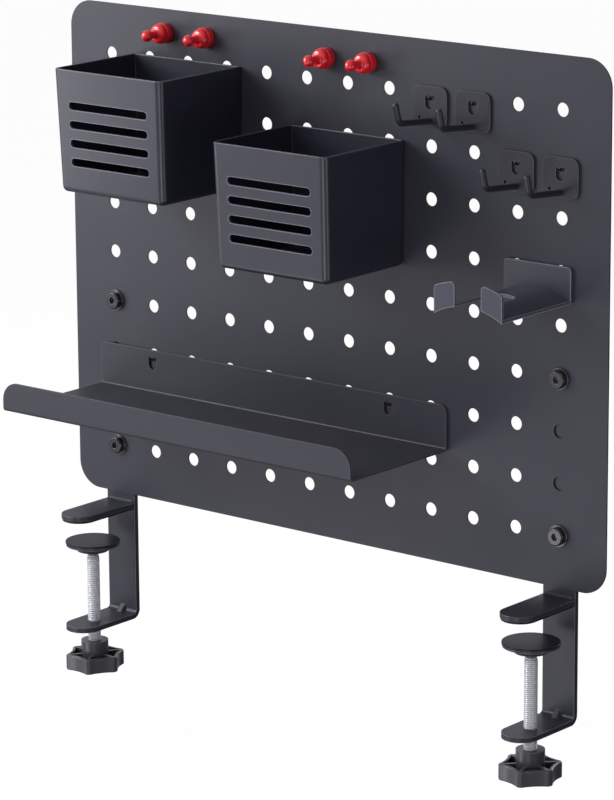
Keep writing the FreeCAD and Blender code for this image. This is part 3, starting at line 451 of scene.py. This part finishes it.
def finish_material(
    name, colour, roughness, grain, bump, tone=0.10, rubbed=0.4, edge=1.0, wall=0.0, **constants
):
    """A pebbled skin with slow changes of tone and rubbed patches, with a painted highlight on the edges and
    painted shade on cut walls.
    """
    material = bpy.data.materials.get(name)
    if material:
        return material
    material = bpy.data.materials.new(name)
    material.use_nodes = True
    tree = material.node_tree
    shader = tree.nodes["Principled BSDF"]
    skin = place_group(tree, grain_group(), Grain_size=grain)
    handling = place_group(tree, handling_group(), Amount=rubbed)
    tones = blend(tree, skin.outputs["Cloud"], shade(colour, 1 - tone), shade(colour, 1 + tone))
    speckled = put(tree, "ShaderNodeMapRange", skin.outputs["Speckle"], *SPECKLE_LEVELS, 0.0, tone * 2)
    shown = blend(tree, speckled.outputs[0], tones, shade(colour, 1 + tone * 2))
    # Painted highlight: the edges are lightened by the factor edge, standing in for light caught on them.
    if edge > 1:
        middle = sum(colour) / 3
        highlight_colour = [channel + (middle - channel) * HIGHLIGHT_GREY_SHARE for channel in colour]
        shown = blend(tree, place_group(tree, edge_highlight_group()).outputs[0], shown, shade(highlight_colour, edge))
    # Painted shade: the walls of holes and cut edges are darkened by the share wall, standing in for shade
    # inside them.
    if wall:
        shown = blend(tree, place_group(tree, wall_shade_group()).outputs[0], shown, shade(colour, 1 - wall))
    tree.links.new(shown, shader.inputs["Base Color"])
    smoothest, roughest = roughness - ROUGHNESS_SWING, roughness + ROUGHNESS_SWING
    base = put(tree, "ShaderNodeMapRange", skin.outputs["Cloud"], *CLOUD_LEVELS, smoothest, roughest)
    polish = calc(tree, "MULTIPLY", handling.outputs[0], ROUGHNESS_RUBBED)
    tree.links.new(calc(tree, "SUBTRACT", base.outputs[0], polish), shader.inputs["Roughness"])
    relief = put(tree, "ShaderNodeBump", 1.0, bump)
    tree.links.new(skin.outputs["Height"], relief.inputs["Height"])
    tree.links.new(relief.outputs[0], shader.inputs["Normal"])
    for label, value in constants.items():
        shader.inputs[label.replace("_", " ")].default_value = value
    return material


def groove_shaded_thread_material(name, colour, radius, depth, groove):
    """Bright zinc plate with painted shade in the grooves of a thread about the clamps' axes."""
    if name in bpy.data.materials:
        return bpy.data.materials[name]
    material = finish_material(
        name, colour, roughness=0.22, grain=0.0004, bump=0.00001, tone=0.05, rubbed=0.1, Metallic=0.30
    )
    tree = material.node_tree
    shader = tree.nodes["Principled BSDF"]
    low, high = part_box("right_clamp_screw")
    axis = (low + high) / 2
    place = put(tree, "ShaderNodeSeparateXYZ", put(tree, "ShaderNodeTexCoord").outputs["Object"]).outputs
    across = calc(tree, "SUBTRACT", calc(tree, "ABSOLUTE", place[0]), axis.x)
    out = calc(tree, "SUBTRACT", place[1], axis.y)
    squares = calc(tree, "ADD", calc(tree, "POWER", across, 2.0), calc(tree, "POWER", out, 2.0))
    away = calc(tree, "SQRT", squares)
    # Painted shade: the colour darkens from the crest down to the root of the thread.
    crest = put(tree, "ShaderNodeMapRange", away, radius - depth, radius, 0.0, 1.0).outputs[0]
    plated = shader.inputs["Base Color"].links[0].from_socket
    tree.links.new(blend(tree, crest, shade(colour, groove), plated), shader.inputs["Base Color"])
    return material


def finishes():
    """Every finish of the organizer, made once."""
    look = bpy.context.scene.organizer_finish
    rough = look.coat_roughness
    # edge lightens the edges as a painted highlight; wall darkens the walls of holes and cut edges as painted
    # shade.
    return {
        "sheet": finish_material(
            "Panel powder coat", look.coat, roughness=rough, grain=0.0007, bump=0.000035, wall=0.9
        ),
        "coat": finish_material(
            "Anthracite powder coat", look.coat, roughness=rough, grain=0.0007, bump=0.000035, edge=3.0
        ),
        "hook": finish_material(
            "Hook powder coat", look.hook, roughness=rough - 0.10, grain=0.0006, bump=0.00002, edge=3.5,
            Coat_Weight=0.35, Coat_Roughness=0.2,
        ),
        "cradle": finish_material(
            "Headphone hook coat", look.cradle, roughness=rough - 0.12, grain=0.0006, bump=0.00002, edge=5.0,
            Coat_Weight=0.5, Coat_Roughness=0.16,
        ),
        "clamp": finish_material(
            "Clamp powder coat", look.clamp, roughness=rough - 0.06, grain=0.0006, bump=0.00002, edge=4.5
        ),
        "bin": finish_material(
            "Moulded bin plastic", look.bin, roughness=0.40, grain=0.0004, bump=0.00001, tone=0.06,
            edge=11.0, Coat_Weight=0.35, Coat_Roughness=0.2,
        ),
        "knob": finish_material(
            "Moulded knob plastic", look.knob, roughness=0.36, grain=0.0005, bump=0.00002, tone=0.08,
            edge=2.6, Coat_Weight=0.4, Coat_Roughness=0.16,
        ),
        "rubber": finish_material(
            "Black rubber", look.rubber, roughness=0.40, grain=0.0009, bump=0.00003, tone=0.20,
            Specular_IOR_Level=0.30,
        ),
        "dark": finish_material(
            "Blackened steel", look.dark, roughness=0.26, grain=0.0005, bump=0.00001, edge=22.0,
            Coat_Weight=0.8, Coat_Roughness=0.10,
        ),
        "zinc": finish_material(
            "Bright zinc plate", look.zinc, roughness=0.24, grain=0.0004, bump=0.00001, tone=0.05,
            Metallic=1.0,
        ),
        "nickel": finish_material(
            "Nickel plate", look.nickel, roughness=0.16, grain=0.0005, bump=0.00001, tone=0.03,
            Metallic=1.0,
        ),
        "pin": finish_material(
            "Glossy red plastic", look.pin, roughness=0.24, grain=0.0020, bump=0.00001, tone=0.05, rubbed=0.2,
            Coat_Weight=1.0, Coat_Roughness=0.04,
        ),
    }


# Geometry trees.


def perforated_sheet_tree():
    """A flat sheet with rounded corners and a grid of round holes, facing -Y."""
    numbers = [
        ("Width", 0.5), ("Height", 0.38), ("Thickness", 0.0012),
        ("Corner", 0.02), ("Hole", 0.005), ("Pitch", 0.038),
    ]
    counts = [("Columns", 12), ("Rows", 9), ("Corner steps", 14), ("Hole steps", 44)]
    tree, source, result = new_tree(
        "Perforated sheet",
        "GeometryNodeTree",
        [(label, "NodeSocketFloat", value) for label, value in numbers]
        + [(label, "NodeSocketInt", value) for label, value in counts]
        + [("Centre", "NodeSocketVector", None), ("Material", "NodeSocketMaterial", None)],
        [("Geometry", "NodeSocketGeometry", None)],
    )
    outline = put(tree, "GeometryNodeCurvePrimitiveQuadrilateral", source["Width"], source["Height"])
    rounded = put(tree, "GeometryNodeFilletCurve", outline.outputs[0], mode="POLY")
    tree.links.new(source["Corner"], rounded.inputs["Radius"])
    tree.links.new(source["Corner steps"], rounded.inputs["Count"])
    grid = put(
        tree,
        "GeometryNodeMeshGrid",
        calc(tree, "MULTIPLY", source["Pitch"], calc(tree, "SUBTRACT", source["Columns"], 1.0)),
        calc(tree, "MULTIPLY", source["Pitch"], calc(tree, "SUBTRACT", source["Rows"], 1.0)),
        source["Columns"],
        source["Rows"],
    )
    hole = put(tree, "GeometryNodeCurvePrimitiveCircle", source["Hole steps"])
    tree.links.new(source["Hole"], hole.inputs["Radius"])
    holes = tree.nodes.new("GeometryNodeInstanceOnPoints")
    tree.links.new(grid.outputs["Mesh"], holes.inputs["Points"])
    tree.links.new(hole.outputs[0], holes.inputs["Instance"])
    real = put(tree, "GeometryNodeRealizeInstances", holes.outputs[0])
    both = tree.nodes.new("GeometryNodeJoinGeometry")
    tree.links.new(rounded.outputs[0], both.inputs[0])
    tree.links.new(real.outputs[0], both.inputs[0])
    face = put(tree, "GeometryNodeFillCurve", both.outputs[0])
    face.mode = "NGONS"
    block = tree.nodes.new("GeometryNodeExtrudeMesh")
    block.mode = "FACES"
    tree.links.new(face.outputs[0], block.inputs["Mesh"])
    tree.links.new(source["Thickness"], block.inputs["Offset Scale"])
    block.inputs["Individual"].default_value = False
    back = put(tree, "GeometryNodeFlipFaces", face.outputs[0])
    closed = tree.nodes.new("GeometryNodeJoinGeometry")
    tree.links.new(back.outputs[0], closed.inputs[0])
    tree.links.new(block.outputs[0], closed.inputs[0])
    welded = put(tree, "GeometryNodeMergeByDistance", closed.outputs[0])
    welded.inputs["Distance"].default_value = WELD
    upright = tree.nodes.new("GeometryNodeTransform")
    tree.links.new(welded.outputs[0], upright.inputs["Geometry"])
    tree.links.new(source["Centre"], upright.inputs["Translation"])
    upright.inputs["Rotation"].default_value = (math.pi / 2, 0, 0)
    end_tree(tree, upright.outputs[0], source, result)
    return tree


def end_tree(tree, geometry, source, result):
    """Makes the copies real, gives them the material and links the result."""
    real = put(tree, "GeometryNodeRealizeInstances", geometry)
    dressed = put(tree, "GeometryNodeSetMaterial", real.outputs[0])
    tree.links.new(source["Material"], dressed.inputs["Material"])
    tree.links.new(dressed.outputs[0], result.inputs[0])


def rolled_thread_tree():
    """A right-hand rolled thread on a round bar about the Z axis, with a plain neck above it."""
    numbers = [
        ("Radius", 0.005), ("Length", 0.09), ("Pitch", 0.0015), ("Depth", 0.0009), ("Fade", 0.002),
        ("Neck radius", 0.0018), ("Neck length", 0.005), ("Crest", 0.12), ("Flank", 0.90),
    ]
    counts = [("Around", 24), ("Neck around", 20), ("Per turn", 8)]
    tree, source, result = new_tree(
        "Rolled thread",
        "GeometryNodeTree",
        [(label, "NodeSocketFloat", value) for label, value in numbers]
        + [(label, "NodeSocketInt", value) for label, value in counts]
        + [("Foot", "NodeSocketVector", None), ("Material", "NodeSocketMaterial", None)],
        [("Geometry", "NodeSocketGeometry", None)],
    )
    turns = calc(tree, "DIVIDE", source["Length"], source["Pitch"])
    bar = put(
        tree,
        "GeometryNodeMeshCylinder",
        source["Around"],
        calc(tree, "MULTIPLY", turns, source["Per turn"]),
        1,
        source["Radius"],
        source["Length"],
    )
    place = put(tree, "ShaderNodeSeparateXYZ", put(tree, "GeometryNodeInputPosition").outputs[0]).outputs
    angle = calc(tree, "DIVIDE", calc(tree, "ARCTAN2", place[1], place[0]), math.tau)
    phase = calc(tree, "SUBTRACT", calc(tree, "DIVIDE", place[2], source["Pitch"]), angle)
    ridge = calc(tree, "MULTIPLY", calc(tree, "PINGPONG", phase, 0.5), 2.0)
    groove = put(tree, "ShaderNodeMapRange", ridge, source["Crest"], source["Flank"], 0.0, 1.0).outputs[0]
    half = calc(tree, "MULTIPLY", source["Length"], 0.5)
    to_end = calc(tree, "SUBTRACT", half, calc(tree, "ABSOLUTE", place[2]))
    fade = put(tree, "ShaderNodeMapRange", to_end, 0.0, source["Fade"], 0.0, 1.0).outputs[0]
    end_cut = calc(tree, "MULTIPLY", calc(tree, "SUBTRACT", 1.0, fade), source["Depth"])
    groove_cut = calc(tree, "MULTIPLY", calc(tree, "MULTIPLY", groove, fade), source["Depth"])
    sunk = calc(tree, "ADD", groove_cut, end_cut)
    keep = calc(tree, "SUBTRACT", 1.0, calc(tree, "DIVIDE", sunk, source["Radius"]))
    moved = put(
        tree,
        "ShaderNodeCombineXYZ",
        calc(tree, "MULTIPLY", place[0], keep),
        calc(tree, "MULTIPLY", place[1], keep),
        calc(tree, "ADD", place[2], half),
    )
    threaded = tree.nodes.new("GeometryNodeSetPosition")
    tree.links.new(bar.outputs["Mesh"], threaded.inputs["Geometry"])
    tree.links.new(moved.outputs[0], threaded.inputs["Position"])
    neck = put(
        tree,
        "GeometryNodeMeshCylinder",
        source["Neck around"],
        1,
        1,
        source["Neck radius"],
        source["Neck length"],
    )
    neck_up = calc(tree, "ADD", source["Length"], calc(tree, "MULTIPLY", source["Neck length"], 0.5))
    raised = tree.nodes.new("GeometryNodeTransform")
    tree.links.new(neck.outputs["Mesh"], raised.inputs["Geometry"])
    lift = put(tree, "ShaderNodeCombineXYZ", 0.0, 0.0, neck_up)
    tree.links.new(lift.outputs[0], raised.inputs["Translation"])
    whole = tree.nodes.new("GeometryNodeJoinGeometry")
    tree.links.new(threaded.outputs[0], whole.inputs[0])
    tree.links.new(raised.outputs[0], whole.inputs[0])
    placed = tree.nodes.new("GeometryNodeTransform")
    tree.links.new(whole.outputs[0], placed.inputs["Geometry"])
    tree.links.new(source["Foot"], placed.inputs["Translation"])
    end_tree(tree, placed.outputs[0], source, result)
    return tree


# Operators, one for each piece or group of like pieces.

HOOKS = 4
PINS = 4


class DressPanel(bpy.types.Operator):
    """Make the perforated sheet with its rounded cut edges"""

    bl_idname = "organizer.dress_panel"
    bl_label = "Perforated panel"

    def execute(self, context):
        sizes = context.scene.organizer_panel
        span = PANEL_HIGH - PANEL_LOW
        middle = (PANEL_HIGH + PANEL_LOW) / 2
        coat = finishes()["sheet"]
        values = {
            "Width": span.x,
            "Height": span.z,
            "Thickness": span.y,
            "Corner": sizes.corner,
            "Hole": sizes.hole,
            "Pitch": sizes.pitch,
            "Columns": sizes.columns,
            "Rows": sizes.rows,
            "Corner steps": sizes.corner_steps,
            "Hole steps": sizes.hole_steps,
            "Centre": (middle.x, PANEL_HIGH.y, middle.z),
            "Material": coat,
        }
        bevel = {
            "width": sizes.edge,
            "segments": EDGE_STEPS,
            "limit_method": "ANGLE",
            "use_clamp_overlap": True,
        }
        steps = [("BEVEL", bevel), ("WEIGHTED_NORMAL", {"weight": NORMAL_WEIGHT})]
        panel = run_geometry("panel_sheet", perforated_sheet_tree(), values, steps)
        carry(panel, "pegboard_panel", coat)
        return {"FINISHED"}


class DressClamps(bpy.types.Operator):
    """Round the edges of the clamp bars, jaws, pads and knobs and give them their finishes"""

    bl_idname = "organizer.dress_clamps"
    bl_label = "Clamps"

    def execute(self, context):
        edges = context.scene.organizer_edges
        look = finishes()
        for side in ("left", "right"):
            rounded_copy(f"{side}_bracket", edges.bar, look["clamp"])
            rounded_copy(f"{side}_upper_jaw", edges.bar, look["clamp"])
            rounded_copy(f"{side}_jaw_pad", edges.sheet, look["rubber"])
            rounded_copy(f"{side}_knob", edges.moulded, look["knob"])
            for name, finish in (("pad_plate", "clamp"), ("pad_rubber", "rubber"), ("swivel_ball", "zinc")):
                keep_node(f"{side}_{name}", look[finish])
        return {"FINISHED"}


class DressScrews(bpy.types.Operator):
    """Roll the thread of the two clamp screws"""

    bl_idname = "organizer.dress_screws"
    bl_label = "Clamp screws"

    def execute(self, context):
        sizes = context.scene.organizer_thread
        low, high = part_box("right_clamp_screw")
        radius = (high.x - low.x) / 2
        plate = context.scene.organizer_finish.zinc
        zinc = groove_shaded_thread_material("Zinc plated thread", plate, radius, sizes.depth, sizes.groove)
        tree = rolled_thread_tree()
        for side in ("left", "right"):
            node = f"{side}_clamp_screw"
            low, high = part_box(node)
            plate_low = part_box(f"{side}_pad_plate")[0]
            shoulder = plate_low.z - sizes.gap
            middle = (low + high) / 2
            values = {
                "Radius": radius,
                "Length": shoulder - low.z,
                "Pitch": sizes.pitch,
                "Depth": sizes.depth,
                "Fade": sizes.fade,
                "Neck radius": sizes.neck,
                "Neck length": high.z - shoulder,
                "Around": sizes.around,
                "Neck around": sizes.neck_around,
                "Per turn": sizes.per_turn,
                "Crest": sizes.crest,
                "Flank": sizes.flank,
                "Foot": (middle.x, middle.y, low.z),
                "Material": zinc,
            }
            screw = run_geometry(f"{side}_screw_thread", tree, values)
            smooth(screw.data, THREAD_BEND)
            carry(screw, node, zinc)
        return {"FINISHED"}


class DressFasteners(bpy.types.Operator):
    """Round the edges of the bolts, washers and nuts and blacken them"""

    bl_idname = "organizer.dress_fasteners"
    bl_label = "Bolts, washers and nuts"

    def execute(self, context):
        edge = context.scene.organizer_edges.fastener
        dark = finishes()["dark"]
        for node in ("panel_bolts", "panel_washers", "panel_nuts"):
            rounded_copy(node, edge, dark)
        return {"FINISHED"}


class DressBins(bpy.types.Operator):
    """Finish the two slotted bins"""

    bl_idname = "organizer.dress_bins"
    bl_label = "Bins"

    def execute(self, context):
        plastic = finishes()["bin"]
        for node in ("bin_left", "bin_right"):
            rounded_copy(node, context.scene.organizer_edges.moulded, plastic)
        return {"FINISHED"}


class DressTray(bpy.types.Operator):
    """Finish the long bent tray"""

    bl_idname = "organizer.dress_tray"
    bl_label = "Tray"

    def execute(self, context):
        rounded_copy("tray", context.scene.organizer_edges.sheet, finishes()["coat"])
        return {"FINISHED"}


class DressHooks(bpy.types.Operator):
    """Finish the four J hooks and the headphone hook"""

    bl_idname = "organizer.dress_hooks"
    bl_label = "Hooks"

    def execute(self, context):
        edge = context.scene.organizer_edges.sheet
        look = finishes()
        for index in range(1, HOOKS + 1):
            rounded_copy(f"hook_{index}_plate", edge, look["hook"])
            keep_node(f"hook_{index}_rod", look["hook"])
        for name in ("plate", "cradle"):
            rounded_copy(f"headphone_hook_{name}", edge, look["cradle"])
        return {"FINISHED"}


class DressPins(bpy.types.Operator):
    """Finish the magnetic push pins"""

    bl_idname = "organizer.dress_pins"
    bl_label = "Push pins"

    def execute(self, context):
        look = finishes()
        for index in range(1, PINS + 1):
            keep_node(f"pin_{index}_cap", look["pin"])
            keep_node(f"pin_{index}_magnet", look["nickel"])
        return {"FINISHED"}


class SetStage(bpy.types.Operator):
    """Set up the floor, the soft light and the camera"""

    bl_idname = "organizer.set_stage"
    bl_label = "Stage"

    def execute(self, context):
        stage = context.scene.organizer_stage
        add_floor(stage)
        add_sky(stage)
        add_lamps(stage.power)
        add_camera(stage)
        context.scene.view_settings.view_transform = "Standard"
        return {"FINISHED"}


# The stage.

# Where the light comes from, as directions from the object: the bright side of the studio and its backdrop.
TO_BRIGHT_SIDE = (-0.70, -0.57, 0.43)
TO_BACKDROP = (-0.60, 0.75, 0.28)
# Cosines to those directions between which the light grows.
BRIGHT_SPREAD = (-0.75, 0.80)
BACKDROP_SPREAD = (0.55, 0.95)
SKY_TINT = (0.93, 0.94, 1.0, 1.0)
LAMP_TINT = (0.94, 0.95, 1.0)
WHITE = (1.0, 1.0, 1.0, 1.0)
FLOOR_CORNERS = 96

# Soft lamps: name, place, width and share of the power.
LAMPS = [
    ("key", (-0.78, -0.66, 0.70), 0.50, 0.70),
    ("side", (-1.00, -0.72, 0.16), 0.35, 0.17),
    ("low", (-0.62, -0.95, -0.42), 0.50, 0.15),
    ("foot", (0.55, -1.10, -0.12), 0.50, 0.24),
    ("right", (1.50, -0.35, 0.00), 0.60, 0.24),
    ("back", (0.10, 1.60, 0.70), 0.90, 0.60),
]


def add_floor(stage):
    """A pale round floor, white to the camera but for the shadows."""
    level = Matrix.Translation((0, 0, cad_box[0].z - stage.drop))
    shape = bmesh.new()
    bmesh.ops.create_circle(
        shape, cap_ends=True, radius=stage.floor_radius, segments=FLOOR_CORNERS, matrix=level
    )
    mesh = bpy.data.meshes.new("floor")
    shape.to_mesh(mesh)
    shape.free()
    floor = bpy.data.objects.new("floor", mesh)
    bpy.context.scene.collection.objects.link(floor)
    material = bpy.data.materials.new("White studio floor")
    material.use_nodes = True
    tree = material.node_tree
    shader = tree.nodes["Principled BSDF"]
    shader.inputs["Base Color"].default_value = [stage.floor_white] * 3 + [1.0]
    shader.inputs["Roughness"].default_value = stage.floor_rough
    glow = put(tree, "ShaderNodeEmission", WHITE, stage.floor_glow)
    path = tree.nodes.new("ShaderNodeLightPath")
    seen = calc(tree, "MULTIPLY", path.outputs["Is Camera Ray"], stage.floor_mix)
    mixed = put(tree, "ShaderNodeMixShader", seen, shader.outputs[0], glow.outputs[0])
    tree.links.new(mixed.outputs[0], tree.nodes["Material Output"].inputs["Surface"])
    mesh.materials.append(material)
    floor.visible_glossy = False


def add_sky(stage):
    """A white studio: brightest at the upper left of the front, dim at the far right, with a lit backdrop."""
    world = bpy.data.worlds.new("Studio")
    bpy.context.scene.world = world
    world.use_nodes = True
    tree = world.node_tree
    toward = put(tree, "ShaderNodeTexCoord").outputs["Generated"]
    front = put(tree, "ShaderNodeVectorMath", toward, TO_BRIGHT_SIDE, operation="DOT_PRODUCT")
    level = put(
        tree, "ShaderNodeMapRange", front.outputs["Value"], *BRIGHT_SPREAD, stage.dim, stage.bright
    )
    level.interpolation_type = "SMOOTHSTEP"
    behind = put(tree, "ShaderNodeVectorMath", toward, TO_BACKDROP, operation="DOT_PRODUCT")
    backdrop = put(
        tree, "ShaderNodeMapRange", behind.outputs["Value"], *BACKDROP_SPREAD, 0.0, stage.backdrop
    )
    backdrop.interpolation_type = "SMOOTHSTEP"
    around = calc(tree, "MAXIMUM", level.outputs[0], backdrop.outputs[0])
    seen = tree.nodes.new("ShaderNodeLightPath").outputs["Is Camera Ray"]
    sky = tree.nodes["Background"]
    tree.links.new(blend(tree, seen, SKY_TINT, WHITE), sky.inputs["Color"])
    tree.links.new(calc(tree, "MAXIMUM", around, seen), sky.inputs["Strength"])


def add_lamps(power):
    """Soft lamps that the camera doesn't see, aimed at the middle of the organizer."""
    middle = (cad_box[0] + cad_box[1]) / 2
    for name, place, width, share_of_power in LAMPS:
        lamp = bpy.data.lights.new(name, "AREA")
        lamp.energy = power * share_of_power
        lamp.size = width
        lamp.color = LAMP_TINT
        item = bpy.data.objects.new(name, lamp)
        item.location = place
        item.visible_camera = False
        item.rotation_euler = (middle - Vector(place)).to_track_quat("-Z", "Y").to_euler()
        bpy.context.scene.collection.objects.link(item)


def add_camera(stage):
    """The camera of the photo: turned round to the right, looking down at the organizer."""
    data = bpy.data.cameras.new("camera")
    data.lens = stage.lens
    data.sensor_width = stage.sensor
    data.clip_start = stage.nearest
    data.clip_end = stage.farthest
    item = bpy.data.objects.new("camera", data)
    bpy.context.scene.collection.objects.link(item)
    across = math.cos(stage.tilt)
    ahead = Vector((-math.sin(stage.turn) * across, math.cos(stage.turn) * across, -math.sin(stage.tilt)))
    right = ahead.cross(WORLD_UP).normalized()
    up = right.cross(ahead)
    basis = Matrix((right, up, -ahead)).transposed() @ Matrix.Rotation(stage.roll, 3, "Z")
    item.matrix_world = Matrix.Translation(stage.eye) @ basis.to_4x4()
    bpy.context.scene.camera = item


class OrganizerPanel(bpy.types.Panel):
    """Lists the steps that dress the organizer"""

    bl_idname = "VIEW3D_PT_organizer"
    bl_label = "Pegboard organizer"
    bl_space_type = "VIEW_3D"
    bl_region_type = "UI"
    bl_category = "Organizer"

    def draw(self, context):
        for step in STEPS:
            self.layout.operator(step.bl_idname)
        for name in SETTINGS:
            box = self.layout.box()
            group = getattr(context.scene, name)
            for key in group.__annotations__:
                box.prop(group, key)


STEPS = [
    DressPanel,
    DressClamps,
    DressScrews,
    DressFasteners,
    DressBins,
    DressTray,
    DressHooks,
    DressPins,
    SetStage,
]


def register():
    for kind in (*SETTINGS.values(), *STEPS, OrganizerPanel):
        bpy.utils.register_class(kind)
    for name, kind in SETTINGS.items():
        setattr(bpy.types.Scene, name, bpy.props.PointerProperty(type=kind))


def unregister():
    for name in SETTINGS:
        delattr(bpy.types.Scene, name)
    for kind in reversed((*SETTINGS.values(), *STEPS, OrganizerPanel)):
        bpy.utils.unregister_class(kind)


def main():
    register()
    bpy.ops.organizer.dress_panel()
    bpy.ops.organizer.dress_clamps()
    bpy.ops.organizer.dress_screws()
    bpy.ops.organizer.dress_fasteners()
    bpy.ops.organizer.dress_bins()
    bpy.ops.organizer.dress_tray()
    bpy.ops.organizer.dress_hooks()
    bpy.ops.organizer.dress_pins()
    bpy.ops.organizer.set_stage()


if __name__ == "__main__":
    main()
